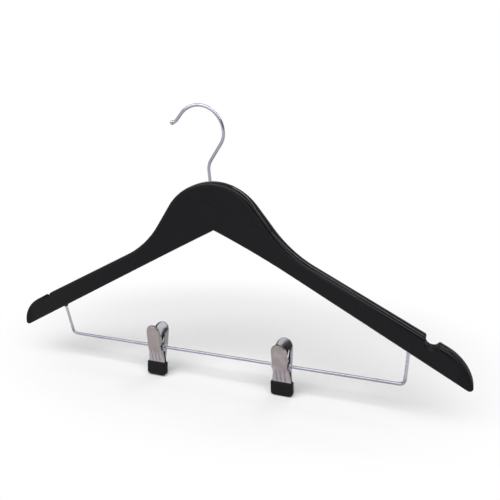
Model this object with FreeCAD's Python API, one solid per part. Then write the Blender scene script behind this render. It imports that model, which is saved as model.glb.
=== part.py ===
"""Contoured wooden skirt hanger with a swivelling wire hook, a wire drop bar and two sprung clips.

Millimetres, +X to the right as seen from the front, +Y to the back, +Z up.  The origin is the place
inside the hook, above the shank, where a wardrobe rail bears.
"""
import FreeCAD
import Part

import math
import os

from FreeCAD import Vector

# Wooden arms, seen from the front
HALF_SPAN = 224.1
HOOK_RISE = 64.5
NECK_HEIGHT = 44.2
DOME_R = 54.0
STEEP_SLOPE = 53.0
STEEP_RUN = 24.8
SHOULDER_R = 95.0
TOP_SLOPE = 24.3
UNDER_SLOPE = 25.6
NOSE_R = 35.0
TIP_ROUND = 2.8
NOTCH_R = 5.0
NOTCH_FROM_TIP = 31.4
NOTCH_SINK = 1.4
NOTCH_SOFT = 1.5
WOOD_T = 12.0
EDGE_ROUND = 2.6
# Sweep of the arms, seen from above: an arc in the middle, then straight arms that lean forward
SWEEP_R = 400.0
SWEEP_ANGLE = 11.2
# Finger joint that glues the two arms together at the neck
FINGER_COUNT = 4
FINGER_HEIGHT = 7.0
FINGER_REACH = 9.0
FINGER_FIRST_DROP = 6.0

# Wire hook
HOOK_WIRE = 2.8
HOOK_R = 23.0
HOOK_OFFSET = 5.0
KNEE_R = 16.4
LEAN_ANGLE = 38.8
SHANK_BEND_R = 15.0
HOOK_WRAP = 135.0
HOOK_TAIL = 6.5
FLARE_R = 7.0
FLARE_TURN = 30.0
FLARE_RUN = 2.0
BALL_D = 4.2
# Swivel fixing in the crotch of the neck
SWIVEL_CLEAR = 0.06
POCKET_D = 9.0
POCKET_DEPTH = 8.0
WASHER_D = 8.4
WASHER_T = 1.0
HEAD_D = 6.0
HEAD_T = 1.6
HEAD_GAP = 0.1

# Wire drop bar and the bushes that hold its legs
BAR_WIRE = 2.8
BAR_INSET = 51.3
BAR_DROP = 117.5
BAR_BEND_R = 5.0
LEG_SPLAY = 4.7
BUSH_D = 4.6
BUSH_PROUD = 1.0
BUSH_DEPTH = 14.0
BUSH_LIP = 0.5
LEG_DEPTH = 13.0

# Clips: heights are above the bar, drops below it, and depths are from the plane that halves the clip
CLIP_PLACES = {"left": -65.9, "right": 66.3}
CLIP_SWINGS = {"left": -14.5, "right": -8.0}
SHEET_T = 0.75
FRONT_TAB_W = 14.6
NEST_CLEAR = 0.25
HEM_W = 18.8
TAB_TOP = 23.2
FLARE_LENGTH = 6.5
TAB_DEPTH = 10.8
CREASE_DEPTH = 9.2
WAIST_HEIGHT = 1.0
WAIST_DEPTH = 6.9
HEM_DROP = 15.6
TONGUE_LENGTH = 9.5
PRESS_BEND_R = 14.0
CORNER_R = 1.2
RIM = 2.2
EAR_R = 4.2
EAR_SHOULDER = 12.0
JAW_SLIT = 1.0
FLARE_DROP = 5.0
RIB_SPACING = 4.0
RIB_W = 1.3
RIB_DEEP = 0.3
# Hollow rivet that both levers turn on and the bar runs through
PIVOT_D = 4.6
BAR_CLEAR = 0.08
PIVOT_CLEAR = 0.05
RIM_D = 6.6
RIM_T = 0.6
RIM_CLEAR = 0.1
# Soft dipped tips
TIP_HEIGHT = 13.1
TIP_SKIN = 1.0
TIP_GAP = 0.3
TIP_CORNER = 3.0
TIP_EDGE = 0.9
# Torsion spring
SPRING_WIRE = 1.1
SPRING_R = 3.4
SPRING_TURNS = 4
SPRING_PITCH = 1.62
SPRING_LEG_LEAN = 16.6
SPRING_LEG = 14.0

HUGE = 600.0
# How near counts as touching
TOUCH = 0.001


def on_front(u, v):
    """A point of an outline drawn from the front: across and up."""
    return Vector(u, 0, v)


def on_plan(u, v):
    """A point of an outline drawn from above: across and back."""
    return Vector(u, v, 0)


def on_side(u, v):
    """A point of an outline drawn from the side: back and up."""
    return Vector(0, u, v)


def turned(radius, degrees):
    """A step of the given length in the given direction, counted from the first axis."""
    angle = math.radians(degrees)
    return radius * math.cos(angle), radius * math.sin(angle)


def moved(point, step):
    """A flat point moved by a flat step."""
    return point[0] + step[0], point[1] + step[1]


def line(place, start, end):
    """A straight edge between two flat points."""
    return Part.LineSegment(place(*start), place(*end)).toShape()


def arc(place, centre, radius, start, end):
    """An arc edge from one direction to another, in degrees, on a flat outline."""
    points = [moved(centre, turned(radius, angle)) for angle in (start, (start + end) / 2, end)]
    return Part.Arc(*[place(*point) for point in points]).toShape()


def rounded(place, corners, closed=False):
    """Edges through corners given as (across, up, radius of the bend there)."""
    count = len(corners)
    joins = []
    for index, (u, v, radius) in enumerate(corners):
        here = Vector(u, v, 0)
        if radius == 0 or (not closed and index in (0, count - 1)):
            joins.append((here, None, here))
            continue
        back = Vector(*corners[index - 1][:2], 0) - here
        ahead = Vector(*corners[(index + 1) % count][:2], 0) - here
        back.normalize()
        ahead.normalize()
        half = back.getAngle(ahead) / 2
        reach = radius / math.tan(half)
        middle = back + ahead
        middle.normalize()
        crown = here + middle * (radius / math.sin(half) - radius)
        joins.append((here + back * reach, crown, here + ahead * reach))
    edges = []
    for index, (start, crown, end) in enumerate(joins):
        if crown is not None:
            flat = [place(point.x, point.y) for point in (start, crown, end)]
            edges.append(Part.Arc(*flat).toShape())
        if closed or index < count - 1:
            following = joins[(index + 1) % count][0]
            edges.append(line(place, (end.x, end.y), (following.x, following.y)))
    return edges


def prism(edges, direction):
    """The solid that a closed flat outline sweeps along a direction, centred on the outline."""
    face = Part.Face(Part.Wire(edges))
    face.translate(direction * -0.5)
    return face.extrude(direction)


def rod(diameter, start, end):
    """A round bar between two points."""
    return Part.makeCylinder(diameter / 2, (end - start).Length, start, end - start)


def wire_tube(edges, diameter):
    """Round wire bent along a path of tangent edges."""
    path = Part.Wire(edges)
    first = path.OrderedEdges[0]
    start = first.valueAt(first.FirstParameter)
    ahead = first.tangentAt(first.FirstParameter)
    if first.Orientation == "Reversed":
        start = first.valueAt(first.LastParameter)
        ahead = first.tangentAt(first.LastParameter) * -1
    ring = Part.Wire(Part.makeCircle(diameter / 2, start, ahead))
    return path.makePipeShell([ring], True, False)


def middle_of(edge):
    """The point half way along an edge and the heading there."""
    half = (edge.FirstParameter + edge.LastParameter) / 2
    return edge.valueAt(half), edge.tangentAt(half)


def into_depth(ahead):
    """Whether a heading runs from front to back more than along the front."""
    return abs(ahead.y) > math.hypot(ahead.x, ahead.z)


def along(direction, length):
    """A step of the given length along a direction."""
    unit = Vector(direction)
    unit.normalize()
    return unit * length


def heading(centre, point):
    """The direction of a point from a centre, in degrees."""
    return math.degrees(math.atan2(point[1] - centre[1], point[0] - centre[0]))


# Heights and places that more than one piece needs
NECK_TOP = -HOOK_RISE
CROTCH = NECK_TOP - NECK_HEIGHT
BAR_Z = CROTCH - BAR_DROP
BAR_HALF = HALF_SPAN - BAR_INSET
UNDER_FALL = math.tan(math.radians(UNDER_SLOPE))
POCKET_ROOF = CROTCH + POCKET_DEPTH
# Joins of the arm's top edge from the neck outwards, with the centres of its arcs
DOME = (0, NECK_TOP - DOME_R)
DOME_END = moved(DOME, turned(DOME_R, 90 - STEEP_SLOPE))
STEEP_END = moved(DOME_END, turned(STEEP_RUN, -STEEP_SLOPE))
SHOULDER = moved(STEEP_END, turned(SHOULDER_R, 90 - STEEP_SLOPE))
SHOULDER_END = moved(SHOULDER, turned(SHOULDER_R, -90 - TOP_SLOPE))


def below_top(across, depth):
    """A flat point at a distance from the neck, a depth square under the arm's straight top edge."""
    slope = math.radians(TOP_SLOPE)
    height = SHOULDER_END[1] - (across - SHOULDER_END[0]) * math.tan(slope)
    return across, height - depth / math.cos(slope)


def sweep_depth(across):
    """How far forward the middle of the board lies at a distance from the neck."""
    turn = math.radians(SWEEP_ANGLE)
    bend_end = SWEEP_R * math.sin(turn)
    if across < bend_end:
        return math.sqrt(SWEEP_R ** 2 - across ** 2) - SWEEP_R
    return (bend_end - across) * math.tan(turn) - SWEEP_R * (1 - math.cos(turn))


def leg_entry():
    """The flat point, seen from the front, where a bar leg's axis enters the right arm's underside."""
    lean = math.tan(math.radians(LEG_SPLAY))
    rise = (CROTCH - UNDER_FALL * BAR_HALF - BAR_Z) / (1 + UNDER_FALL * lean)
    return BAR_HALF + rise * lean, BAR_Z + rise


BAR_Y = sweep_depth(leg_entry()[0])
LEG_WAY = Vector(math.sin(math.radians(LEG_SPLAY)), 0, math.cos(math.radians(LEG_SPLAY)))


def arm_curves():
    """The right arm's outline without its notch: each curve's name with its edge, in order."""
    down = (math.cos(math.radians(UNDER_SLOPE)), -math.sin(math.radians(UNDER_SLOPE)))
    crotch = (0, CROTCH)
    # The nose's arc touches the top edge, and the tip's small round touches the underside and that arc
    nose = below_top(HALF_SPAN - NOSE_R, NOSE_R)
    nose_top = moved(nose, turned(NOSE_R, 90 - TOP_SLOPE))
    track = moved(crotch, turned(TIP_ROUND, 90 - UNDER_SLOPE))
    away = (nose[0] - track[0], nose[1] - track[1])
    forward = away[0] * down[0] + away[1] * down[1]
    aside = away[0] ** 2 + away[1] ** 2 - forward ** 2
    run = forward + math.sqrt((NOSE_R - TIP_ROUND) ** 2 - aside)
    tip = (track[0] + down[0] * run, track[1] + down[1] * run)
    under_end = (crotch[0] + down[0] * run, crotch[1] + down[1] * run)
    tip_end = heading(nose, tip)
    return {
        "under": line(on_front, crotch, under_end),
        "tip": arc(on_front, tip, TIP_ROUND, -90 - UNDER_SLOPE, tip_end),
        "nose": arc(on_front, nose, NOSE_R, tip_end, 90 - TOP_SLOPE),
        "top": line(on_front, nose_top, SHOULDER_END),
        "shoulder": arc(on_front, SHOULDER, SHOULDER_R, -90 - TOP_SLOPE, -90 - STEEP_SLOPE),
        "steep": line(on_front, STEEP_END, DOME_END),
        "dome": arc(on_front, DOME, DOME_R, 90 - STEEP_SLOPE, 90),
        "middle": line(on_front, (0, NECK_TOP), crotch),
    }


def swept_board():
    """The bent board, endless up and down, that the right arm's outline is cut from."""
    inner = SWEEP_R - WOOD_T / 2
    outer = SWEEP_R + WOOD_T / 2
    centre = (0, -SWEEP_R)
    bend_end = 90 - SWEEP_ANGLE
    front_bend = moved(centre, turned(inner, bend_end))
    back_bend = moved(centre, turned(outer, bend_end))
    front_end = moved(front_bend, turned(HALF_SPAN, -SWEEP_ANGLE))
    back_end = moved(back_bend, turned(HALF_SPAN, -SWEEP_ANGLE))
    outline = [
        arc(on_plan, centre, inner, 90, bend_end),
        line(on_plan, front_bend, front_end),
        line(on_plan, front_end, back_end),
        line(on_plan, back_end, back_bend),
        arc(on_plan, centre, outer, bend_end, 90),
        line(on_plan, (0, WOOD_T / 2), (0, -WOOD_T / 2)),
    ]
    return prism(outline, Vector(0, 0, 2 * HUGE))


def right_half():
    """The right half of the wood, rounded and notched, before the joint and the holes."""
    curves = arm_curves()
    half = prism(list(curves.values()), Vector(0, HUGE, 0)).common(swept_board())
    soft = [curve for name, curve in curves.items() if name != "middle"]
    long_edges = []
    for edge in half.Edges:
        middle, ahead = middle_of(edge)
        seen = Part.Vertex(middle.x, 0, middle.z)
        if not into_depth(ahead) and min(curve.distToShape(seen)[0] for curve in soft) < TOUCH:
            long_edges.append(edge)
    return notched(half.makeFillet(EDGE_ROUND, long_edges))


def notched(half):
    """The right half with the strap notch cut across it and the notch's edges softened."""
    centre = on_front(*below_top(HALF_SPAN - NOTCH_FROM_TIP, NOTCH_SINK))
    half = half.cut(rod(2 * NOTCH_R, centre - Vector(0, HUGE, 0), centre + Vector(0, HUGE, 0)))
    brim = []
    for edge in half.Edges:
        middle = middle_of(edge)[0]
        if abs(math.dist((middle.x, middle.z), (centre.x, centre.z)) - NOTCH_R) < TOUCH:
            brim.append(edge)
    return half.makeFillet(NOTCH_SOFT, brim)


def fingers(owner):
    """Blocks of the joint's fingers that one arm pushes into the other, across the middle."""
    blocks = []
    for index in range(FINGER_COUNT):
        if (index % 2 == 0) != (owner == "right"):
            continue
        low = NECK_TOP - FINGER_FIRST_DROP - (index + 1) * FINGER_HEIGHT
        start = -FINGER_REACH if owner == "right" else 0
        corner = Vector(start, -WOOD_T, low)
        blocks.append(Part.makeBox(FINGER_REACH, 2 * WOOD_T, FINGER_HEIGHT, corner))
    return Part.makeCompound(blocks)


def mirrored(shape):
    """The same shape on the other side of the hanger's middle."""
    return shape.mirror(Vector(0, 0, 0), Vector(1, 0, 0))


def bush_ends():
    """The two ends of the right bush's axis: its mouth under the arm and its blind end."""
    entry = leg_entry()
    at = Vector(entry[0], BAR_Y, entry[1])
    return at - LEG_WAY * BUSH_PROUD, at + LEG_WAY * BUSH_DEPTH


def wooden_arms():
    """Both arms, finger-jointed at the neck and bored for the hook, its fixing and the bushes."""
    right = right_half()
    left = mirrored(right)
    hole = rod(HOOK_WIRE + 2 * SWIVEL_CLEAR, Vector(0, 0, POCKET_ROOF), Vector(0, 0, NECK_TOP + 1))
    pocket = rod(POCKET_D, Vector(0, 0, CROTCH - POCKET_D), Vector(0, 0, POCKET_ROOF))
    mouth, end = bush_ends()
    socket = rod(BUSH_D, mouth, end)
    arms = {
        "right_arm": right.cut(fingers("left")).fuse(left.common(fingers("right"))).cut(socket),
        "left_arm": left.cut(fingers("right")).fuse(right.common(fingers("left"))).cut(mirrored(socket)),
    }
    return {name: arm.cut(hole).cut(pocket).removeSplitter() for name, arm in arms.items()}


def hook():
    """Wire hook: a ball on the flared nose, the bow, the lean and the shank with its riveted head."""
    bow_z = -math.sqrt((HOOK_R - HOOK_WIRE / 2) ** 2 - HOOK_OFFSET ** 2)
    bow = (-HOOK_OFFSET, bow_z)
    knee = (HOOK_R - HOOK_OFFSET - KNEE_R, bow_z)
    lean_top = moved(knee, turned(KNEE_R, -LEAN_ANGLE))
    lean_foot = (0, lean_top[1] - lean_top[0] / math.tan(math.radians(LEAN_ANGLE)))
    head_top = POCKET_ROOF - WASHER_T - HEAD_GAP
    bow_end = moved(bow, turned(HOOK_R, HOOK_WRAP))
    tail = moved(bow_end, turned(HOOK_TAIL, HOOK_WRAP + 90))
    flare = moved(tail, turned(FLARE_R, HOOK_WRAP))
    flare_start = HOOK_WRAP + 180
    flare_end = flare_start - FLARE_TURN
    flare_tip = moved(flare, turned(FLARE_R, flare_end))
    ball = moved(flare_tip, turned(FLARE_RUN, flare_end - 90))
    path = [
        line(on_front, ball, flare_tip),
        arc(on_front, flare, FLARE_R, flare_end, flare_start),
        line(on_front, tail, bow_end),
        arc(on_front, bow, HOOK_R, HOOK_WRAP, 0),
        arc(on_front, knee, KNEE_R, 0, -LEAN_ANGLE),
        *rounded(on_front, [(*lean_top, 0), (*lean_foot, SHANK_BEND_R), (0, head_top, 0)]),
    ]
    wire = wire_tube(path, HOOK_WIRE)
    bead = Part.makeSphere(BALL_D / 2, on_front(*ball))
    head = rod(HEAD_D, Vector(0, 0, head_top - HEAD_T), Vector(0, 0, head_top))
    foot = [edge for edge in head.Edges if edge.BoundBox.ZMax < head_top - HEAD_T / 2]
    head = head.makeFillet(HEAD_T / 2, foot)
    return wire.fuse([bead, head])


def hook_washer():
    """Flat washer that carries the neck on the hook's riveted head."""
    low = Vector(0, 0, POCKET_ROOF - WASHER_T)
    roof = Vector(0, 0, POCKET_ROOF)
    return rod(WASHER_D, low, roof).cut(rod(HOOK_WIRE + 2 * SWIVEL_CLEAR, low, roof))


def drop_bar():
    """Wire bar with a splayed leg at each end, pushed up into the bushes."""
    entry = leg_entry()
    leg_top = (entry[0] + LEG_WAY.x * LEG_DEPTH, entry[1] + LEG_WAY.z * LEG_DEPTH)
    corners = [
        (-leg_top[0], leg_top[1], 0),
        (-BAR_HALF, BAR_Z, BAR_BEND_R),
        (BAR_HALF, BAR_Z, BAR_BEND_R),
        (*leg_top, 0),
    ]
    bar = wire_tube(rounded(on_front, corners), BAR_WIRE)
    bar.translate(Vector(0, BAR_Y, 0))
    return bar


def bar_bush():
    """Black bush in the right arm's underside, with a rounded mouth that stands proud."""
    mouth, end = bush_ends()
    body = rod(BUSH_D, mouth, end)
    lip = [edge for edge in body.Edges if edge.CenterOfMass.sub(mouth).Length < TOUCH]
    return body.makeFillet(BUSH_LIP, lip).cut(rod(BAR_WIRE, mouth, end))


def press_profile(inset):
    """Corners of a lever's outer face, seen from the side, moved inwards by a depth."""
    crease = TAB_TOP - FLARE_LENGTH
    seat = TIP_GAP / 2 + TIP_SKIN + SHEET_T
    return [
        (TAB_DEPTH - inset, TAB_TOP, 0),
        (CREASE_DEPTH - inset, crease, PRESS_BEND_R),
        (WAIST_DEPTH - inset, WAIST_HEIGHT, PRESS_BEND_R),
        (seat - inset, CORNER_R - HEM_DROP, PRESS_BEND_R),
        (seat - inset, -HEM_DROP - TONGUE_LENGTH, 0),
    ]


def press_depth(height):
    """Depth of the lever's outer face at a height, without the bends' rounding."""
    corners = press_profile(0)
    for upper, lower in zip(corners, corners[1:]):
        if lower[1] <= height <= upper[1]:
            share = (height - lower[1]) / (upper[1] - lower[1])
            return lower[0] + share * (upper[0] - lower[0])
    return corners[-1][0]


def lever_outline(half_width, inset):
    """A lever seen from the front: rounded tab, parallel sides at the pivot, flare to the hem."""
    radius = half_width - inset
    hem = HEM_W / 2 - inset
    shoulder = TAB_TOP - half_width
    foot = -HEM_DROP - TONGUE_LENGTH
    left = [
        (-radius, shoulder, 0),
        (-radius, -FLARE_DROP, PRESS_BEND_R),
        (-hem, -HEM_DROP, PRESS_BEND_R),
        (-hem, foot, 0),
    ]
    right = [(-across, height, bend) for across, height, bend in reversed(left)]
    return [
        arc(on_front, (0, shoulder), radius, 0, 180),
        *rounded(on_front, left),
        line(on_front, (-hem, foot), (hem, foot)),
        *rounded(on_front, right),
    ]


def behind_face(inset):
    """All the space behind a lever's face, or behind the face moved inwards by a depth."""
    corners = press_profile(inset)
    top = corners[0]
    foot = corners[-1]
    outline = [
        *rounded(on_side, corners),
        line(on_side, foot[:2], (-HUGE, foot[1])),
        line(on_side, (-HUGE, foot[1]), (-HUGE, top[1])),
        line(on_side, (-HUGE, top[1]), top[:2]),
    ]
    return prism(outline, Vector(HUGE, 0, 0))


def lever_walls(ear_rise):
    """The side view of a lever: its face, the walls folded back from it and the ears."""
    crease = TAB_TOP - FLARE_LENGTH
    tongue_back, foot = press_profile(SHEET_T)[-1][:2]
    slit = JAW_SLIT / 2
    corners = [
        (tongue_back, foot),
        (tongue_back, CORNER_R - HEM_DROP),
        (slit, 3 * CORNER_R - HEM_DROP),
        (slit, ear_rise),
        (press_depth(crease) - RIM, crease),
        (TAB_DEPTH - RIM, TAB_TOP),
        (HUGE, TAB_TOP),
        (HUGE, foot),
    ]
    outline = [line(on_side, here, there) for here, there in zip(corners, corners[1:] + corners[:1])]
    ear = rod(2 * EAR_R, Vector(-HUGE / 2, 0, 0), Vector(HUGE / 2, 0, 0))
    return prism(outline, Vector(HUGE, 0, 0)).fuse(ear)


def lever(half_width, ear_rise):
    """A pressed lever, hollow towards the front: dished tab, ears on the pivot, ribbed jaw."""
    bore = PIVOT_D + 2 * PIVOT_CLEAR
    block = prism(lever_outline(half_width, 0), Vector(0, HUGE, 0)).common(behind_face(0))
    block = block.makeFillet(CORNER_R, [edge for edge in block.Edges if is_fold(edge)])
    hollow = prism(lever_outline(half_width, SHEET_T), Vector(0, HUGE, 0)).common(behind_face(SHEET_T))
    pressed = block.common(lever_walls(ear_rise)).cut(hollow)
    pressed = pressed.cut(rod(bore, Vector(-HUGE, 0, 0), Vector(HUGE, 0, 0)))
    return pressed.cut(jaw_ribs()).removeSplitter()


def is_fold(edge):
    """Whether an edge of a lever's block is where the face turns over into the walls."""
    middle, ahead = middle_of(edge)
    across_face = abs(middle.x) < TOUCH
    return middle.y > 0 and not across_face and not into_depth(ahead)


def jaw_ribs():
    """Three shallow flutes pressed into a lever's lower face."""
    low = 2 * CORNER_R - HEM_DROP
    high = WAIST_HEIGHT - 2 * CORNER_R
    flutes = []
    for place in (-1, 0, 1):
        ends = []
        for height in (low, high):
            out = press_depth(height) + RIB_W / 2 - RIB_DEEP
            ends.append(Vector(place * RIB_SPACING, out, height))
        flute = rod(RIB_W, *ends)
        flutes.append(flute.fuse([Part.makeSphere(RIB_W / 2, end) for end in ends]))
    return Part.makeCompound(flutes)


def lever_tip(pressed):
    """Soft dipped tip over a lever's tongue, rounded at its corners."""
    top = -HEM_DROP
    low = top - TIP_HEIGHT
    half = HEM_W / 2 + TIP_SKIN
    outline = [(-half, top, TIP_EDGE), (-half, low, TIP_CORNER), (half, low, TIP_CORNER), (half, top, TIP_EDGE)]
    inner = TIP_GAP / 2
    thick = SHEET_T + 2 * TIP_SKIN
    block = prism(rounded(on_front, outline, closed=True), Vector(0, thick, 0))
    block.translate(Vector(0, inner + thick / 2, 0))
    outer_edges = [edge for edge in block.Edges if abs(edge.CenterOfMass.y - inner - thick) < TOUCH]
    return block.makeFillet(TIP_EDGE, outer_edges).cut(pressed)


def pivot_tube(reach):
    """Hollow rivet through the ears, with a rolled rim outside each outer ear."""
    body = rod(PIVOT_D, Vector(-reach - RIM_T, 0, 0), Vector(reach + RIM_T, 0, 0))
    for side in (-1, 1):
        rim = rod(RIM_D, Vector(side * reach, 0, 0), Vector(side * (reach + RIM_T), 0, 0))
        body = body.fuse(rim)
    bore = rod(BAR_WIRE + 2 * BAR_CLEAR, Vector(-HUGE, 0, 0), Vector(HUGE, 0, 0))
    return body.cut(bore).removeSplitter()


def helix_point(angle, start):
    """A point of the coil's centre line, and its heading, at an angle in degrees about the pivot."""
    turn = math.radians(angle)
    climb = SPRING_PITCH / (2 * math.pi)
    across = climb * math.radians(angle - start)
    point = Vector(across, SPRING_R * math.cos(turn), SPRING_R * math.sin(turn))
    ahead = Vector(climb, -SPRING_R * math.sin(turn), SPRING_R * math.cos(turn))
    ahead.normalize()
    return point, ahead


def bowed(start, ahead, end):
    """An arc from a point with a heading to another point."""
    chord = end - start
    unit = along(chord, 1)
    lean = ahead.getAngle(unit)
    out = ahead - unit * ahead.dot(unit)
    out.normalize()
    crown = (start + end) * 0.5 + out * (chord.Length / 2 * math.tan(lean / 2))
    return Part.Arc(start, crown, end).toShape()


def two_arcs(start, start_way, end, end_way):
    """Two tangent arcs that join two headings in space."""
    span = end - start
    both = start_way + end_way
    spread = 2 * (1 - start_way.dot(end_way))
    push = span.dot(both)
    reach = (math.sqrt(push ** 2 + spread * span.Length ** 2) - push) / spread
    join = (start + end + (start_way - end_way) * reach) * 0.5
    return [bowed(start, start_way, join), bowed(end, end_way * -1, join)]


def torsion_spring():
    """Spring round the pivot: a close coil with one straight leg up each lever."""
    start = 180 + SPRING_LEG_LEAN
    end = 360 - SPRING_LEG_LEAN + 360 * SPRING_TURNS
    quarters = round((end - start) / 90)
    stops = [start + (end - start) * index / quarters for index in range(quarters + 1)]
    knots = [helix_point(stop, start) for stop in stops]
    first, first_way = knots[0]
    last, last_way = knots[-1]
    edges = [Part.LineSegment(first - first_way * SPRING_LEG, first).toShape()]
    for (here, here_way), (there, there_way) in zip(knots, knots[1:]):
        edges.extend(two_arcs(here, here_way, there, there_way))
    edges.append(Part.LineSegment(last, last + last_way * SPRING_LEG).toShape())
    coil = wire_tube(edges, SPRING_WIRE)
    coil.translate(Vector(-(first.x + last.x) / 2, 0, 0))
    return coil, least_gap(edges)


def least_gap(edges):
    """The least clear gap between turns of a wire, measured on points along its path."""
    step = SPRING_WIRE / 4
    points = []
    for edge in edges:
        count = max(2, round(edge.Length / step))
        ordered = [edge.valueAt(edge.getParameterByLength(edge.Length * k / count)) for k in range(count)]
        if points and (ordered[-1] - points[-1]).Length < (ordered[0] - points[-1]).Length:
            ordered.reverse()
        points.extend(ordered)
    skip = round(math.pi * SPRING_R / step)
    pairs = ((a, b) for a in range(len(points)) for b in range(a + skip, len(points)))
    return min((points[a] - points[b]).Length for a, b in pairs) - SPRING_WIRE


def clip(side):
    """One clip on the bar: the pieces that it is put together from, by name."""
    front_half = FRONT_TAB_W / 2
    back_half = front_half + NEST_CLEAR + SHEET_T
    front = lever(front_half, EAR_R)
    back = lever(back_half, EAR_SHOULDER)
    half_turn = Vector(0, 0, 1)
    pieces = {
        "clip_front_lever": (front, True),
        "clip_front_tip": (lever_tip(front), True),
        "clip_back_lever": (back, False),
        "clip_back_tip": (lever_tip(back), False),
        "clip_pivot_tube": (pivot_tube(back_half + RIM_CLEAR), False),
        "clip_spring": (torsion_spring()[0], False),
    }
    placed = {}
    for name, (shape, turn) in pieces.items():
        piece = shape.copy()
        if turn:
            piece.rotate(Vector(0, 0, 0), half_turn, 180)
        piece.rotate(Vector(0, 0, 0), Vector(1, 0, 0), CLIP_SWINGS[side])
        piece.translate(Vector(CLIP_PLACES[side], BAR_Y, BAR_Z))
        placed[f"{side}_{name}"] = piece
    return placed


def build():
    """Every piece of the hanger by its node's name."""
    bush = bar_bush()
    pieces = {
        **wooden_arms(),
        "hook": hook(),
        "hook_washer": hook_washer(),
        "drop_bar": drop_bar(),
        "right_bar_bush": bush,
        "left_bar_bush": mirrored(bush),
    }
    for side in CLIP_PLACES:
        pieces.update(clip(side))
    return pieces


os.makedirs("parts", exist_ok=True)
for node, shape in build().items():
    solids = len(shape.Solids)
    print(f"{node}: {solids} solid, {shape.Volume:.1f} mm3, valid {shape.isValid()}")
    shape.exportStep(f"parts/{node}.step")
print(f"least gap between the spring's turns {torsion_spring()[1]:.2f} mm")
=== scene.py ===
import math

import bmesh
import bpy
from mathutils import Matrix, Quaternion, Vector


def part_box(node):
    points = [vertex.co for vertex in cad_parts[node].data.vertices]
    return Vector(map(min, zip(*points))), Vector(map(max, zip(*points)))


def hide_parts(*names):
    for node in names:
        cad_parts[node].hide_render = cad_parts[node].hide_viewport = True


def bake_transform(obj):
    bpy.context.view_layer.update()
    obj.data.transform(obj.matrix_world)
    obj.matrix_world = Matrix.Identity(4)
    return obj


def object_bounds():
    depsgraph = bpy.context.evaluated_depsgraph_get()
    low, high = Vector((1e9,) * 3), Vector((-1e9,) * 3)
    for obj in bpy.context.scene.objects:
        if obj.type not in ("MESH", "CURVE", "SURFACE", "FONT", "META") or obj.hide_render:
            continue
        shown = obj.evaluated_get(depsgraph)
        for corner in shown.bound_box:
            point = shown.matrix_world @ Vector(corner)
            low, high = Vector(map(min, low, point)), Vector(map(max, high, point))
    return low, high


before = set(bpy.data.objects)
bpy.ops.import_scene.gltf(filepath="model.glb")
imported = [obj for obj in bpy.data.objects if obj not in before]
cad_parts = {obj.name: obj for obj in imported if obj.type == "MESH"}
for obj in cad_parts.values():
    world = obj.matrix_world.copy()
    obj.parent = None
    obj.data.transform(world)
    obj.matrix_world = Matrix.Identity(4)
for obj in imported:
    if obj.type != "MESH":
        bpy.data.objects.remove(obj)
cad_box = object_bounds()

# Wooden arms
# Two halves of a beech board, bent forward at the shoulders and finger-jointed at the neck. They are
# sprayed with black lacquer, which fills the pores and leaves a satin gloss. It stays dull inside the
# strap notches and on the noses, where the end grain soaks it up.

ARM_SIGNS = {"left": -1, "right": 1}
SWEEP_R = 0.4
SWEEP_TURN = math.radians(11.2)
CROWN = 26.0
NOTCH_PLACE = (0.1927, 0.0, -0.181)
NOTCH_REACH = 0.0068
NOTCH_EDGES = (0.85, 1.0)
NOTCH_ROUGH = 0.6
NOSE_EDGES = (0.2, 0.214)
NOSE_ROUGH = 0.65
GRAIN_LEAN = math.radians(25.0)
GRAIN_STRETCH = (40.0, 900.0, 900.0)
GRAIN_ROUGH = (0.08, 0.13)
GRAIN_DEPTH = 2e-6
RUB_STRETCH = (25.0, 60.0, 60.0)
RUB_ROUGH = (0.02, 0.14)
STREAK_DETAIL = 4.0
STREAK_EDGES = (0.3, 0.7)
LACQUER_DARK = (0.0014, 0.0013, 0.0023, 1.0)
LACQUER_PALE = (0.0032, 0.0029, 0.0046, 1.0)
LACQUER_GLOSS = 0.16


def add_node(tree, kind, inputs=None, **settings):
    """A shader node with its settings. Each input takes a value, or the socket that it is linked to."""
    node = tree.nodes.new(kind)
    for label, setting in settings.items():
        setattr(node, label, setting)
    for label, given in (inputs or {}).items():
        if isinstance(given, bpy.types.NodeSocket):
            tree.links.new(given, node.inputs[label])
        else:
            node.inputs[label].default_value = given
    return node


def add_math(tree, operation, *numbers, **settings):
    """The result of one sum on numbers that change over the surface."""
    node = add_node(tree, "ShaderNodeMath", dict(enumerate(numbers)), operation=operation, **settings)
    return node.outputs["Value"]


def add_measure(tree, operation, *vectors):
    """A vector's length, or how far it reaches along another one."""
    node = add_node(tree, "ShaderNodeVectorMath", dict(enumerate(vectors)), operation=operation)
    return node.outputs["Value"]


def add_ramp(tree, number, edges, ends=(0.0, 1.0), **settings):
    """A number that goes from one end to the other while the given one passes between two edges."""
    inputs = {
        "Value": number,
        "From Min": edges[0],
        "From Max": edges[1],
        "To Min": ends[0],
        "To Max": ends[1],
    }
    return add_node(tree, "ShaderNodeMapRange", inputs, **settings).outputs["Result"]


def add_mix(tree, mask, plain, other, kind="FLOAT"):
    """A number, or a colour if the kind is RGBA, that gives way to another one where the mask says so."""
    node = add_node(tree, "ShaderNodeMix", {"Factor": mask, "A": plain, "B": other}, data_type=kind)
    return node.outputs["Result"]


def add_group(tree, group, **inputs):
    """A node group placed with its own values."""
    return add_node(tree, "ShaderNodeGroup", inputs, node_tree=group)


def shader_group(name, inputs, outputs):
    """An empty node group with its sockets, given as name: (socket type, value) and name: socket type."""
    group = bpy.data.node_groups.new(name, "ShaderNodeTree")
    for label, (kind, value) in inputs.items():
        socket = group.interface.new_socket(label, in_out="INPUT", socket_type=kind)
        socket.default_value = value
    for label, kind in outputs.items():
        group.interface.new_socket(label, in_out="OUTPUT", socket_type=kind)
    return group, group.nodes.new("NodeGroupInput"), group.nodes.new("NodeGroupOutput")


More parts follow.
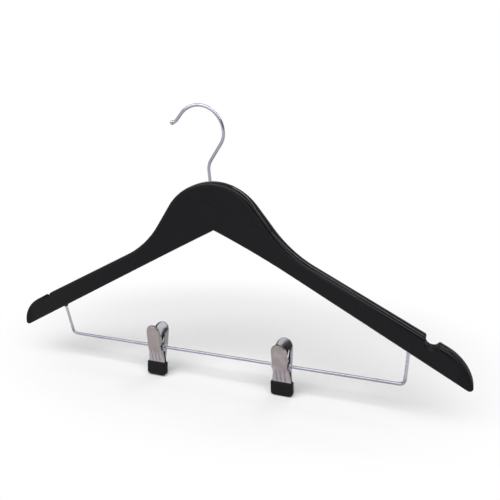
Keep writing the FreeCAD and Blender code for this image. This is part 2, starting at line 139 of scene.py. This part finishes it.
def streaks_group():
    """Fine lines along one axis, as wood grain, wire drawing and sheet rolling leave them."""
    group, given, result = shader_group(
        "streaks",
        {
            "Turn": ("NodeSocketVector", (0.0, 0.0, 0.0)),
            "Stretch": ("NodeSocketVector", (1.0, 1.0, 1.0)),
            "Low": ("NodeSocketFloat", 0.0),
            "High": ("NodeSocketFloat", 1.0),
        },
        {"Lines": "NodeSocketFloat", "Value": "NodeSocketFloat"},
    )
    place = add_node(group, "ShaderNodeTexCoord").outputs["Object"]
    turned = add_node(
        group,
        "ShaderNodeVectorRotate",
        {"Vector": place, "Rotation": given.outputs["Turn"]},
        rotation_type="EULER_XYZ",
    )
    stretched = add_node(
        group,
        "ShaderNodeVectorMath",
        {0: turned.outputs["Vector"], 1: given.outputs["Stretch"]},
        operation="MULTIPLY",
    )
    noise = add_node(
        group,
        "ShaderNodeTexNoise",
        {"Vector": stretched.outputs["Vector"], "Scale": 1.0, "Detail": STREAK_DETAIL},
    )
    lines = noise.outputs["Fac"]
    value = add_ramp(group, lines, STREAK_EDGES, (given.outputs["Low"], given.outputs["High"]))
    group.links.new(lines, result.inputs["Lines"])
    group.links.new(value, result.inputs["Value"])
    return group


STREAKS = streaks_group()


def add_streaks(tree, stretch, ends, **inputs):
    """Streaks placed with their stretch and with the ends of their value."""
    return add_group(tree, STREAKS, Stretch=stretch, Low=ends[0], High=ends[1], **inputs)


def tones_group():
    """Two tones of one colour, parted by the same streaks."""
    group, given, result = shader_group(
        "tones",
        {
            "Turn": ("NodeSocketVector", (0.0, 0.0, 0.0)),
            "Stretch": ("NodeSocketVector", (1.0, 1.0, 1.0)),
            "Dark": ("NodeSocketColor", (0.0, 0.0, 0.0, 1.0)),
            "Pale": ("NodeSocketColor", (1.0, 1.0, 1.0, 1.0)),
        },
        {"Color": "NodeSocketColor"},
    )
    streaks = add_group(group, STREAKS, Turn=given.outputs["Turn"], Stretch=given.outputs["Stretch"])
    tone = add_mix(group, streaks.outputs["Value"], given.outputs["Dark"], given.outputs["Pale"], "RGBA")
    group.links.new(tone, result.inputs["Color"])
    return group


TONES = tones_group()


def crown(tree, place, outward):
    """How far a slight crown falls away across the board, which is bent round and then runs straight."""
    from_centre = add_node(
        tree,
        "ShaderNodeMapping",
        {"Vector": place, "Location": (0.0, SWEEP_R, 0.0), "Scale": (1.0, 1.0, 0.0)},
    ).outputs["Vector"]
    square_to_arm = (math.sin(SWEEP_TURN), math.cos(SWEEP_TURN), 0.0)
    bent = add_measure(tree, "LENGTH", from_centre)
    straight = add_measure(tree, "DOT_PRODUCT", from_centre, square_to_arm)
    past_bend = add_math(tree, "GREATER_THAN", outward, SWEEP_R * math.sin(SWEEP_TURN))
    depth = add_math(tree, "SUBTRACT", add_mix(tree, past_bend, bent, straight), SWEEP_R)
    return add_math(tree, "MULTIPLY", add_math(tree, "MULTIPLY", depth, depth), -CROWN)


def lacquer_group():
    """Black lacquer over the grain, with a place on either arm measured as on the right one."""
    group, given, result = shader_group(
        "lacquer",
        {
            "Side": ("NodeSocketFloat", 1.0),
            "Turn": ("NodeSocketVector", (0.0, 0.0, 0.0)),
        },
        {"Color": "NodeSocketColor", "Roughness": "NodeSocketFloat", "Height": "NodeSocketFloat"},
    )
    lean = given.outputs["Turn"]
    tones = add_group(group, TONES, Turn=lean, Stretch=GRAIN_STRETCH, Dark=LACQUER_DARK, Pale=LACQUER_PALE)
    grain = add_streaks(group, GRAIN_STRETCH, GRAIN_ROUGH, Turn=lean)
    rubs_and_run_tone = add_streaks(group, RUB_STRETCH, RUB_ROUGH, Turn=lean)
    surface = add_node(group, "ShaderNodeTexCoord").outputs["Object"]
    split = add_node(group, "ShaderNodeSeparateXYZ", {"Vector": surface})
    outward = add_math(group, "MULTIPLY", split.outputs["X"], given.outputs["Side"])
    place = add_node(
        group,
        "ShaderNodeCombineXYZ",
        {"X": outward, "Y": split.outputs["Y"], "Z": split.outputs["Z"]},
    ).outputs["Vector"]
    from_notch = add_node(
        group,
        "ShaderNodeMapping",
        {"Vector": place, "Location": NOTCH_PLACE, "Scale": (NOTCH_REACH, 1.0, NOTCH_REACH)},
        vector_type="TEXTURE",
    ).outputs["Vector"]
    in_notch = add_ramp(group, add_measure(group, "LENGTH", from_notch), NOTCH_EDGES, (NOTCH_ROUGH, 0.0))
    on_nose = add_ramp(group, outward, NOSE_EDGES, (0.0, NOSE_ROUGH))
    rough = grain.outputs["Value"]
    for other in (rubs_and_run_tone.outputs["Value"], in_notch, on_nose):
        rough = add_math(group, "MAXIMUM", rough, other)
    fall = crown(group, place, outward)
    height = add_math(group, "MULTIPLY_ADD", grain.outputs["Lines"], GRAIN_DEPTH, fall)
    group.links.new(tones.outputs["Color"], result.inputs["Color"])
    group.links.new(rough, result.inputs["Roughness"])
    group.links.new(height, result.inputs["Height"])
    return group


LACQUER = lacquer_group()


def new_material(name):
    """A material with its Principled shader."""
    material = bpy.data.materials.new(name)
    material.use_nodes = True
    return material, material.node_tree, material.node_tree.nodes["Principled BSDF"]


def add_bump(tree, shader, height, strength, distance):
    """Bump from a height that changes over the surface."""
    bump = add_node(tree, "ShaderNodeBump", {"Strength": strength, "Distance": distance, "Height": height})
    tree.links.new(bump.outputs["Normal"], shader.inputs["Normal"])


def arm_lacquer(side, sign):
    """The lacquer of one arm, with the grain leaning down along it."""
    material, tree, shader = new_material(f"{side}_lacquer")
    shader.inputs["Specular IOR Level"].default_value = LACQUER_GLOSS
    finish = add_group(tree, LACQUER, Side=sign, Turn=(0.0, -sign * GRAIN_LEAN, 0.0))
    tree.links.new(finish.outputs["Color"], shader.inputs["Base Color"])
    tree.links.new(finish.outputs["Roughness"], shader.inputs["Roughness"])
    add_bump(tree, shader, finish.outputs["Height"], strength=1.0, distance=1.0)
    return material


def dress(node, material):
    """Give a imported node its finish."""
    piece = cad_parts[node]
    piece.data.materials.clear()
    piece.data.materials.append(material)


for side, sign in ARM_SIGNS.items():
    dress(f"{side}_arm", arm_lacquer(side, sign))

# Hook and its washer
# Steel wire, bent cold and chromed, with a bead on its nose. It passes down through the neck and is
# riveted over a plain zinc plated washer in a pocket under the crotch.

HOOK_DARK = (0.31, 0.305, 0.355, 1.0)
HOOK_PALE = (0.37, 0.365, 0.415, 1.0)
HOOK_STRETCH = (300.0, 300.0, 120.0)
HOOK_ROUGH = (0.08, 0.16)
ZINC_DARK = (0.40, 0.40, 0.42, 1.0)
ZINC_PALE = (0.50, 0.50, 0.53, 1.0)
ZINC_STRETCH = (900.0, 900.0, 900.0)
ZINC_ROUGH = (0.3, 0.45)


def plated(name, dark, pale, stretch, rough):
    """Plating over steel, in two close tones, with its polish changing a little."""
    material, tree, shader = new_material(name)
    shader.inputs["Metallic"].default_value = 1.0
    tones = add_group(tree, TONES, Stretch=stretch, Dark=dark, Pale=pale)
    polish = add_streaks(tree, stretch, rough)
    tree.links.new(tones.outputs["Color"], shader.inputs["Base Color"])
    tree.links.new(polish.outputs["Value"], shader.inputs["Roughness"])
    return material


dress("hook", plated("hook_chrome", HOOK_DARK, HOOK_PALE, HOOK_STRETCH, HOOK_ROUGH))
ZINC = plated("zinc_plate", ZINC_DARK, ZINC_PALE, ZINC_STRETCH, ZINC_ROUGH)
dress("hook_washer", ZINC)

# Drop bar and its bushes
# Chromed steel wire, bent up at both ends and pushed into black nylon bushes in the arms' undersides.
# Its legs are painted paler than its straight run, as a painted reflection.

BAR_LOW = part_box("drop_bar")[0].z
# Painted reflection: between these heights the tone goes from the straight run's to the paler legs'.
LEG_SHEEN_EDGES = (BAR_LOW + 0.004, BAR_LOW + 0.012)
RUN_DARK = (0.265, 0.265, 0.315, 1.0)
RUN_PALE = (0.315, 0.315, 0.365, 1.0)
RUN_STRETCH = (60.0, 300.0, 300.0)
LEG_SHEEN_DARK = (0.43, 0.425, 0.48, 1.0)
LEG_SHEEN_PALE = (0.50, 0.495, 0.55, 1.0)
LEG_STRETCH = (300.0, 300.0, 60.0)
BAR_ROUGH = (0.24, 0.34)
NYLON_DARK = (0.008, 0.008, 0.009, 1.0)
NYLON_PALE = (0.012, 0.012, 0.013, 1.0)
NYLON_GRAIN = 900.0
NYLON_ROUGH = (0.4, 0.5)
SOFT_GLOSS = 0.15
SKIN_STRENGTH = 0.1
SKIN_DEPTH = 0.0005


def bar_chrome():
    """Chrome in one tone along the straight run and painted paler up the legs, as a painted reflection."""
    material, tree, shader = new_material("bar_chrome")
    shader.inputs["Metallic"].default_value = 1.0
    rubs_and_run_tone = add_group(tree, TONES, Stretch=RUN_STRETCH, Dark=RUN_DARK, Pale=RUN_PALE)
    leg_sheen = add_group(tree, TONES, Stretch=LEG_STRETCH, Dark=LEG_SHEEN_DARK, Pale=LEG_SHEEN_PALE)
    surface = add_node(tree, "ShaderNodeTexCoord").outputs["Object"]
    place = add_node(tree, "ShaderNodeSeparateXYZ", {"Vector": surface})
    # Painted reflection: paler up the legs.
    leg_sheen_mask = add_ramp(tree, place.outputs["Z"], LEG_SHEEN_EDGES)
    tone = add_mix(tree, leg_sheen_mask, rubs_and_run_tone.outputs["Color"], leg_sheen.outputs["Color"], "RGBA")
    polish = add_streaks(tree, RUN_STRETCH, BAR_ROUGH)
    tree.links.new(tone, shader.inputs["Base Color"])
    tree.links.new(polish.outputs["Value"], shader.inputs["Roughness"])
    return material


def soft_black(name, dark, pale, grain, rough):
    """Black nylon or vinyl, with a fine skin that breaks up its sheen."""
    material, tree, shader = new_material(name)
    shader.inputs["Specular IOR Level"].default_value = SOFT_GLOSS
    stretch = (grain, grain, grain)
    tones = add_group(tree, TONES, Stretch=stretch, Dark=dark, Pale=pale)
    skin = add_streaks(tree, stretch, rough)
    tree.links.new(tones.outputs["Color"], shader.inputs["Base Color"])
    tree.links.new(skin.outputs["Value"], shader.inputs["Roughness"])
    add_bump(tree, shader, skin.outputs["Lines"], SKIN_STRENGTH, SKIN_DEPTH)
    return material


dress("drop_bar", bar_chrome())
NYLON = soft_black("black_nylon", NYLON_DARK, NYLON_PALE, NYLON_GRAIN, NYLON_ROUGH)
for side in ARM_SIGNS:
    dress(f"{side}_bar_bush", NYLON)

# Clip levers and their hollow rivets
# Two levers to a clip, pressed from sheet steel and nickel plated, that turn on a zinc plated rivet which
# the bar runs through. The tabs are warm; the jaws are painted paler and cooler, a painted reflection. The
# plating is duller on the side walls and inside. The flutes are painted darker as painted shade, and the
# top rims are duller and painted darker as painted shade.

CLIP_SWINGS = {"left": -14.5, "right": -8.0}
LEVER_INSIDES = {"front": (0.0, 1.0, 0.0), "back": (0.0, -1.0, 0.0)}
UPWARD = (0.0, 0.0, 1.0)
TAB_NICKEL = (0.33, 0.285, 0.28, 1.0)
# The jaws' tone is a painted reflection, paler and cooler than the tabs'.
JAW_REFLECTION_TONE = (0.42, 0.385, 0.43, 1.0)
TAB_EDGES = (-0.008, 0.004)
CLOUDS = 0.6
CLOUD_STRETCH = (140.0, 140.0, 140.0)
ROLLED_STRETCH = (900.0, 900.0, 60.0)
ROLLED_ROUGH = (0.08, 0.16)
# Painted shade in the flutes.
FLUTE_SHADE = (0.30, 0.268, 0.295, 1.0)
FLUTE_SPACING = 0.004
FLUTE_EDGES = (0.0004, 0.0008)
FLUTE_REACH = 0.006
FLUTE_TOP = -0.0008
INSIDE_NICKEL = (0.315, 0.305, 0.325, 1.0)
INSIDE_ROUGH = 0.2
INSIDE_EDGES = (-0.6, -0.2)
# Painted shade on the up-facing top rims, which are also duller.
RIM_SHADE = (0.10, 0.095, 0.10, 1.0)
RIM_ROUGH = 0.45
RIM_EDGES = (0.5, 0.68)
PIVOTS = {}
for side in CLIP_SWINGS:
    low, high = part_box(f"{side}_clip_pivot_tube")
    PIVOTS[side] = (low + high) / 2


def in_flutes(tree, across, height):
    """A mask of the three flutes in a jaw's face, which are painted darker as painted shade."""
    off_flute = add_math(tree, "PINGPONG", across, FLUTE_SPACING / 2)
    within = add_math(tree, "LESS_THAN", add_math(tree, "ABSOLUTE", across), FLUTE_REACH)
    below = add_math(tree, "LESS_THAN", height, FLUTE_TOP)
    mask = add_ramp(tree, off_flute, FLUTE_EDGES, (1.0, 0.0))
    for other in (within, below):
        mask = add_math(tree, "MULTIPLY", mask, other)
    return mask


def nickel_group():
    """Cloudy nickel over rolled sheet, measured from the pivot, with a painted reflection on the jaws,
    painted shade in the flutes and on the top rims, and the inside set off.
    """
    group, given, result = shader_group(
        "nickel",
        {
            "Pivot": ("NodeSocketVector", (0.0, 0.0, 0.0)),
            "Inward": ("NodeSocketVector", (0.0, 1.0, 0.0)),
        },
        {"Color": "NodeSocketColor", "Roughness": "NodeSocketFloat"},
    )
    surface = add_node(group, "ShaderNodeTexCoord")
    from_pivot = add_node(
        group,
        "ShaderNodeVectorMath",
        {0: surface.outputs["Object"], 1: given.outputs["Pivot"]},
        operation="SUBTRACT",
    )
    place = add_node(group, "ShaderNodeSeparateXYZ", {"Vector": from_pivot.outputs["Vector"]})
    across = place.outputs["X"]
    height = place.outputs["Z"]
    cloudy = add_streaks(group, CLOUD_STRETCH, (-CLOUDS, CLOUDS)).outputs["Value"]
    # Painted reflection: paler and cooler from the tabs down to the jaws.
    to_tab = add_math(group, "ADD", add_ramp(group, height, TAB_EDGES), cloudy, use_clamp=True)
    tone = add_mix(group, to_tab, JAW_REFLECTION_TONE, TAB_NICKEL, "RGBA")
    # Painted shade in the flutes.
    tone = add_mix(group, in_flutes(group, across, height), tone, FLUTE_SHADE, "RGBA")
    rough = add_streaks(group, ROLLED_STRETCH, ROLLED_ROUGH).outputs["Value"]
    # The side walls and inside are duller; the up-facing top rims are duller and painted darker, as painted
    # shade.
    for way, edges, nickel, dullness in (
        (given.outputs["Inward"], INSIDE_EDGES, INSIDE_NICKEL, INSIDE_ROUGH),
        (UPWARD, RIM_EDGES, RIM_SHADE, RIM_ROUGH),
    ):
        mask = add_ramp(group, add_measure(group, "DOT_PRODUCT", surface.outputs["Normal"], way), edges)
        tone = add_mix(group, mask, tone, nickel, "RGBA")
        rough = add_mix(group, mask, rough, dullness)
    group.links.new(tone, result.inputs["Color"])
    group.links.new(rough, result.inputs["Roughness"])
    return group


NICKEL = nickel_group()


def lever_nickel(side, way, inward):
    """The nickel of one lever, set out from its own clip's pivot."""
    material, tree, shader = new_material(f"{side}_{way}_nickel")
    shader.inputs["Metallic"].default_value = 1.0
    finish = add_group(tree, NICKEL, Pivot=PIVOTS[side], Inward=inward)
    tree.links.new(finish.outputs["Color"], shader.inputs["Base Color"])
    tree.links.new(finish.outputs["Roughness"], shader.inputs["Roughness"])
    return material


for side in CLIP_SWINGS:
    for way, inward in LEVER_INSIDES.items():
        dress(f"{side}_clip_{way}_lever", lever_nickel(side, way, inward))
    dress(f"{side}_clip_pivot_tube", ZINC)

# Clip springs
# A torsion spring of zinc plated wire, wound round each rivet. One straight leg bears on each lever and
# pushes the tabs apart, which shuts the jaws.

COIL_WIRE = 0.0011
COIL_R = 0.0034
COIL_PITCH = 0.00162
COIL_TURNS = 4
LEG_LEAN = 16.6
LEG_LENGTH = 0.014
STEPS_PER_TURN = 32
WIRE_SIDES = 14


def draw_leg(bm, edges, step):
    """Draw the open end of a wire out by a step, and close it."""
    drawn = bmesh.ops.extrude_edge_only(bm, edges=edges)["geom"]
    ends = [item for item in drawn if isinstance(item, bmesh.types.BMVert)]
    bmesh.ops.translate(bm, verts=ends, vec=step)
    brim = [item for item in drawn if isinstance(item, bmesh.types.BMEdge)]
    bmesh.ops.contextual_create(bm, geom=[edge for edge in brim if all(v in ends for v in edge.verts)])


def clip_spring(side):
    """The wound spring of one clip, coiled about the bar's direction and swung with its clip."""
    start = math.radians(180 + LEG_LEAN)
    sweep = math.radians(180 - 2 * LEG_LEAN + 360 * COIL_TURNS)
    climb = COIL_PITCH / (2 * math.pi)
    steps = round(STEPS_PER_TURN * sweep / (2 * math.pi))
    half = climb * sweep / 2
    first = Vector((-half, COIL_R * math.cos(start), COIL_R * math.sin(start)))
    ahead = Vector((climb, -COIL_R * math.sin(start), COIL_R * math.cos(start))).normalized()
    bm = bmesh.new()
    ring = bmesh.ops.create_circle(bm, segments=WIRE_SIDES, radius=COIL_WIRE / 2)["verts"]
    turn = ahead.to_track_quat("Z", "Y").to_matrix().to_4x4()
    bmesh.ops.transform(bm, matrix=Matrix.Translation(first) @ turn, verts=ring)
    first_edges = list(bm.edges)
    last = bmesh.ops.spin(
        bm,
        geom=ring + first_edges,
        cent=(0, 0, 0),
        axis=(1, 0, 0),
        dvec=(2 * half / steps, 0, 0),
        angle=sweep,
        steps=steps,
    )["geom_last"]
    away = Quaternion((1, 0, 0), sweep) @ ahead
    draw_leg(bm, first_edges, ahead * -LEG_LENGTH)
    draw_leg(bm, [item for item in last if isinstance(item, bmesh.types.BMEdge)], away * LEG_LENGTH)
    bmesh.ops.recalc_face_normals(bm, faces=bm.faces)
    for face in bm.faces:
        face.smooth = len(face.verts) == 4
    swing = Matrix.Rotation(math.radians(CLIP_SWINGS[side]), 4, "X")
    bmesh.ops.transform(bm, matrix=Matrix.Translation(PIVOTS[side]) @ swing, verts=bm.verts)
    mesh = bpy.data.meshes.new(f"{side}_spring")
    bm.to_mesh(mesh)
    bm.free()
    mesh.materials.append(ZINC)
    spring = bpy.data.objects.new(f"{side}_spring", mesh)
    bpy.context.scene.collection.objects.link(spring)
    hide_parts(f"{side}_clip_spring")
    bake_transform(spring)


for side in CLIP_SWINGS:
    clip_spring(side)

# Dipped tips
# Soft black vinyl that each jaw is dipped in, so that it grips the cloth without marking it. It sets with
# rounded corners and a fine matt skin.

VINYL_DARK = (0.0030, 0.0030, 0.0034, 1.0)
VINYL_PALE = (0.0055, 0.0055, 0.0060, 1.0)
VINYL_GRAIN = 700.0
VINYL_ROUGH = (0.45, 0.6)
VINYL = soft_black("black_vinyl", VINYL_DARK, VINYL_PALE, VINYL_GRAIN, VINYL_ROUGH)
for side in CLIP_SWINGS:
    for way in LEVER_INSIDES:
        dress(f"{side}_clip_{way}_tip", VINYL)

# Floor
# A white table top that the clips' tips just touch. Near the hanger it shows a painted shade pool of grey
# paint, which also takes the hanger's shadow, and further off it shows as plain white.

FLOOR_Z = cad_box[0].z
FLOOR_SIZE = 12.0
# Grey paint for the painted shade pool near the hanger.
SHADE_POOL_PAINT = (0.72, 0.72, 0.72, 1.0)
SHADE_POOL_MIDDLE = (-0.02, 0.04, 0.0)
SHADE_POOL_REACH = (0.33, 0.18, 1.0)
SHADE_POOL_EDGES = (0.52, 1.0)
bpy.ops.mesh.primitive_plane_add(size=FLOOR_SIZE, location=(0, 0, FLOOR_Z))
floor = bpy.context.object
floor.name = "floor"


def floor_paint():
    """Grey paint near the hanger, a painted shade pool, which gives way to a plain white glow for every ray
    that shows it.
    """
    material, tree, shader = new_material("floor_paint")
    shader.inputs["Base Color"].default_value = SHADE_POOL_PAINT
    shader.inputs["Roughness"].default_value = 1.0
    shader.inputs["Specular IOR Level"].default_value = 0.0
    place = add_node(tree, "ShaderNodeTexCoord").outputs["Object"]
    from_shade_pool = add_node(
        tree,
        "ShaderNodeMapping",
        {"Vector": place, "Location": SHADE_POOL_MIDDLE, "Scale": SHADE_POOL_REACH},
        vector_type="TEXTURE",
    ).outputs["Vector"]
    off_shade_pool = add_measure(tree, "LENGTH", from_shade_pool)
    # Outside the painted shade pool the floor glows plain white.
    far = add_ramp(tree, off_shade_pool, SHADE_POOL_EDGES, interpolation_type="SMOOTHSTEP")
    path = add_node(tree, "ShaderNodeLightPath")
    shown = path.outputs["Is Camera Ray"]
    for other in ("Is Glossy Ray", "Is Transmission Ray"):
        shown = add_math(tree, "MAXIMUM", shown, path.outputs[other])
    glows = add_math(tree, "MULTIPLY", far, shown)
    glow = add_node(tree, "ShaderNodeEmission").outputs["Emission"]
    paint = add_node(tree, "ShaderNodeMixShader", {"Fac": glows, 1: shader.outputs["BSDF"], 2: glow})
    tree.links.new(paint.outputs["Shader"], tree.nodes["Material Output"].inputs["Surface"])
    return material


floor.data.materials.append(floor_paint())

# Studio
# A long soft box above and in front, a narrow one behind, a weak one low at the front left and a long strip
# far behind. The surround is white to the camera. In reflections it is greyer low down in front, dim in a
# band behind and dark at the front right.

MIDDLE = (cad_box[0] + cad_box[1]) / 2
LAMPS = {
    "key_light": {"place": (0.03, -0.45, 0.92), "size": (3.0, 0.6), "power": 24.0},
    "edge_light": {"place": (0.3, 0.75, 0.85), "size": (0.5, 0.08), "power": 1.2},
    "front_light": {"place": (-0.45, -1.0, 0.08), "size": (0.8, 0.6), "power": 1.2},
    "back_strip": {"place": (0.577, 2.15, 0.985), "size": (2.0, 0.15), "power": 4.5},
}
WHITE = (1.0, 1.0, 1.0, 1.0)
FILL = 0.4
FRONT_WALL = ((0.0, 0.6), (0.18, 0.75), (0.32, 1.0))
BACK_WALL = ((0.0, 1.0), (0.03, 1.0), (0.12, 0.2), (0.55, 0.2), (0.8, 0.9))
WALL_BLEND = 0.4
ROOM_WAY = (0.47, -0.83, 0.29)
ROOM_EDGES = (0.72, 0.93)
ROOM_LEVEL = 0.35


def soft_box(name, place, size, power):
    """A rectangular light that looks at the hanger's middle."""
    lamp = bpy.data.lights.new(name, "AREA")
    lamp.shape = "RECTANGLE"
    lamp.size, lamp.size_y = size
    lamp.energy = power
    holder = bpy.data.objects.new(name, lamp)
    holder.location = place
    holder.rotation_mode = "QUATERNION"
    holder.rotation_quaternion = (MIDDLE - holder.location).to_track_quat("-Z", "Y")
    bpy.context.scene.collection.objects.link(holder)


for name, lamp in LAMPS.items():
    soft_box(name, **lamp)


def wall_greys(tree, height, stops):
    """The greys of one side of the surround, from the floor's level up."""
    wall = add_node(tree, "ShaderNodeValToRGB", {"Fac": height})
    elements = wall.color_ramp.elements
    while len(elements) < len(stops):
        elements.new(0.5)
    for element, (level, grey) in zip(elements, stops):
        element.position = level
        element.color = (grey, grey, grey, 1.0)
    return wall.outputs["Color"]


def surround():
    """White for the camera, walls in greys for reflections, and a plain fill for all other light."""
    world = bpy.data.worlds.new("surround")
    bpy.context.scene.world = world
    world.use_nodes = True
    tree = world.node_tree
    fill = tree.nodes["Background"]
    fill.inputs["Color"].default_value = WHITE
    fill.inputs["Strength"].default_value = FILL
    white = add_node(tree, "ShaderNodeBackground", {"Color": WHITE})
    way = add_node(tree, "ShaderNodeTexCoord").outputs["Generated"]
    split = add_node(tree, "ShaderNodeSeparateXYZ", {"Vector": way})
    front = wall_greys(tree, split.outputs["Z"], FRONT_WALL)
    back = wall_greys(tree, split.outputs["Z"], BACK_WALL)
    behind = add_ramp(tree, split.outputs["Y"], (-WALL_BLEND, WALL_BLEND), interpolation_type="SMOOTHSTEP")
    walls = add_mix(tree, behind, front, back, "RGBA")
    to_room = add_measure(tree, "DOT_PRODUCT", way, ROOM_WAY)
    level = add_ramp(tree, to_room, ROOM_EDGES, (1.0, ROOM_LEVEL), interpolation_type="SMOOTHSTEP")
    mirrored = add_node(tree, "ShaderNodeBackground", {"Color": walls, "Strength": level})
    path = add_node(tree, "ShaderNodeLightPath")
    straight = add_math(tree, "MAXIMUM", path.outputs["Is Camera Ray"], path.outputs["Is Transmission Ray"])
    light = fill.outputs["Background"]
    for mask, other in ((path.outputs["Is Glossy Ray"], mirrored), (straight, white)):
        mix = add_node(tree, "ShaderNodeMixShader", {"Fac": mask, 1: light, 2: other.outputs["Background"]})
        light = mix.outputs["Shader"]
    tree.links.new(light, tree.nodes["World Output"].inputs["Surface"])


surround()

# Camera
# It stands in front of the hanger, to its right and a little above it, and is tipped slightly to one side.
# Its place and lens are fitted to the photo, by the edges of the board, the bar, the hook and the clips.

AZIMUTH = math.radians(24.42)
ELEVATION = math.radians(19.85)
ROLL = math.radians(-5.09)
DISTANCE = 0.45372
AIM = Vector((0.03285, 0.0, -0.1271))
LENS = 36.0
SENSOR = 36.0
NEAREST = 0.01

level = math.cos(ELEVATION)
away = Vector((math.sin(AZIMUTH) * level, -math.cos(AZIMUTH) * level, math.sin(ELEVATION)))
camera = bpy.data.cameras.new("camera")
camera.lens = LENS
camera.sensor_width = SENSOR
camera.clip_start = NEAREST
eye = bpy.data.objects.new("camera", camera)
eye.location = AIM + away * DISTANCE
eye.rotation_mode = "QUATERNION"
eye.rotation_quaternion = (-away).to_track_quat("-Z", "Y") @ Quaternion((0, 0, 1), ROLL)
bpy.context.scene.collection.objects.link(eye)
bpy.context.scene.camera = eye
bpy.context.scene.view_settings.view_transform = "Standard"
